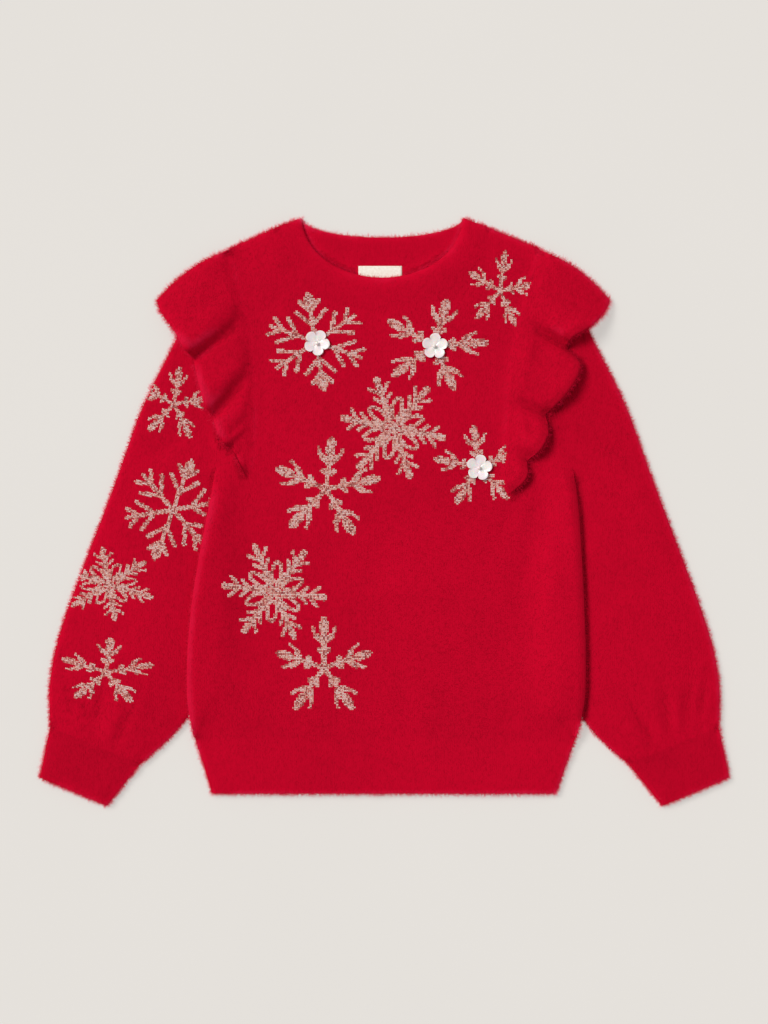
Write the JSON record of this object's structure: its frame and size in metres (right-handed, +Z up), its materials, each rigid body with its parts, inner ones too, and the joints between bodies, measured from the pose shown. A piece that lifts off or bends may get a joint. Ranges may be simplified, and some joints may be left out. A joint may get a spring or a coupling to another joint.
{
  "type": "child's christmas sweater laid flat",
  "caption": "Fluffy knitted child's pullover laid flat, front up, with ruffles over the shoulders, ribbed hem and cuffs, and knitted snowflakes.",
  "frame": {"origin": "on the surface that the garment lies on, in the middle of its outline", "axes": "+X towards the wearer's left side, +Y towards the neck, +Z up from the surface, out of the front"},
  "size_m": [0.634, 0.54, 0.0211],
  "materials": {
    "pile_knit": "long soft pile on a fine knit, matt red with paler tips",
    "metallic_yarn": "pale gold lurex knitted into the snowflakes, with small glints and dark gaps",
    "label_tape": "smooth woven satin tape",
    "pearl": "pearl white with a faint iridescence"
  },
  "bodies": {
    "root": {"front_panel": "pile_knit", "back_panel": "pile_knit", "rib_front": "pile_knit", "rib_back": "pile_knit", "neckband_front": "pile_knit", "neckband_back": "pile_knit", "sleeve_right": "pile_knit", "sleeve_left": "pile_knit", "cuff_right": "pile_knit", "cuff_left": "pile_knit", "ruffle_right": "pile_knit", "ruffle_left": "pile_knit", "neck_label": "label_tape", "flower_one": "pearl", "flower_two": "pearl", "flower_three": "pearl", "bead_one": "pearl", "bead_two": "pearl", "bead_three": "pearl"}
  },
  "joints": []
}
